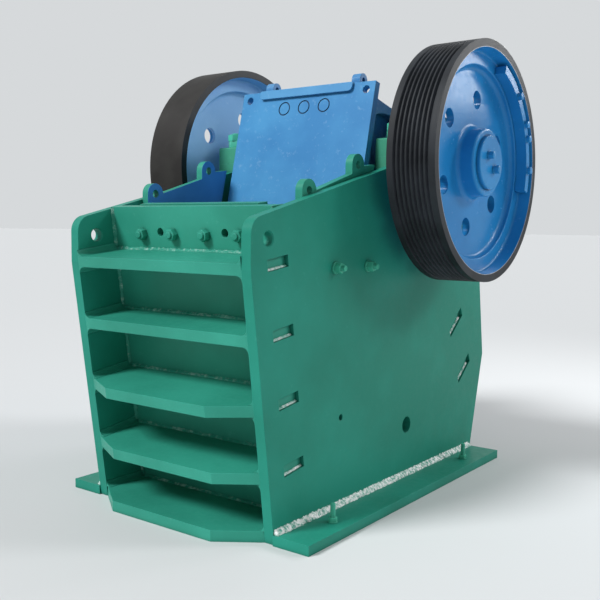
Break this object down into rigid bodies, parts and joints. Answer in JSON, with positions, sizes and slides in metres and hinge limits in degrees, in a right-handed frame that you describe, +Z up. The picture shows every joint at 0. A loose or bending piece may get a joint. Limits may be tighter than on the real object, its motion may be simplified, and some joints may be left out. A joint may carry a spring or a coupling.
{
  "type": "jaw crusher",
  "caption": "Single-toggle jaw crusher: welded frame with ribbed front, toothed jaws under an open mouth, eccentric shaft with a grooved and a plain flywheel.",
  "frame": {"origin": "middle of the four foundation bolts, on the underside of the feet", "axes": "+X along the shaft towards the grooved flywheel, +Y from the ribbed front to the rear, +Z up"},
  "size_m": [1.82, 2.3938, 2.27],
  "materials": {
    "frame_paint": "green machine enamel",
    "blue_paint": "blue machine enamel",
    "wheel_paint": "blue machine enamel on cast iron",
    "jaw_plate_steel": "as-cast manganese steel",
    "bare_steel": "turned steel with oil film"
  },
  "bodies": {
    "frame": {"side_plate_right": "frame_paint", "side_plate_left": "frame_paint", "base_flange_right": "frame_paint", "base_flange_left": "frame_paint", "cheek_plate_upper_right": "blue_paint", "cheek_plate_upper_left": "blue_paint", "cheek_plate_lower_right": "blue_paint", "cheek_plate_lower_left": "blue_paint", "bearing_base_right": "frame_paint", "bearing_base_left": "frame_paint", "bearing_cap_right": "frame_paint", "bearing_cap_left": "frame_paint", "bearing_cover_right": "frame_paint", "bearing_cover_left": "frame_paint", "front_wall": "frame_paint", "front_rib_1": "frame_paint", "front_rib_2": "frame_paint", "front_rib_3": "frame_paint", "front_rib_4": "frame_paint", "front_rib_5": "frame_paint", "fixed_jaw_plate": "jaw_plate_steel", "fixed_jaw_ledge": "frame_paint", "rear_wall": "frame_paint", "rear_rib_upper": "frame_paint", "rear_rib_lower": "frame_paint", "rear_beam": "frame_paint", "toggle_seat": "frame_paint", "toggle_plate": "frame_paint", "tension_spring": "bare_steel"},
    "rotor": {"eccentric_shaft": "bare_steel", "pulley_flywheel": "wheel_paint", "plain_flywheel": "wheel_paint", "counterweight_right": "wheel_paint", "counterweight_left": "wheel_paint", "shaft_cap_right": "wheel_paint", "shaft_cap_left": "wheel_paint"},
    "jaw": {"swing_jaw": "blue_paint", "guard_plate": "blue_paint", "clamp_bar": "blue_paint", "moving_jaw_plate": "jaw_plate_steel", "tension_rod": "bare_steel", "spring_washer": "bare_steel"}
  },
  "joints": [
    {"name": "flywheel_spin", "type": "hinge", "parent": "frame", "child": "rotor", "pos_m": [0, 0.343, 1.67], "axis": [1, 0, 0], "continuous": true},
    {"name": "jaw_swing", "type": "hinge", "parent": "frame", "child": "jaw", "pos_m": [0, 0.343, 1.67], "axis": [-1, 0, 0], "range_deg": [0, 1.25], "deforming": ["tension_spring"]}
  ]
}
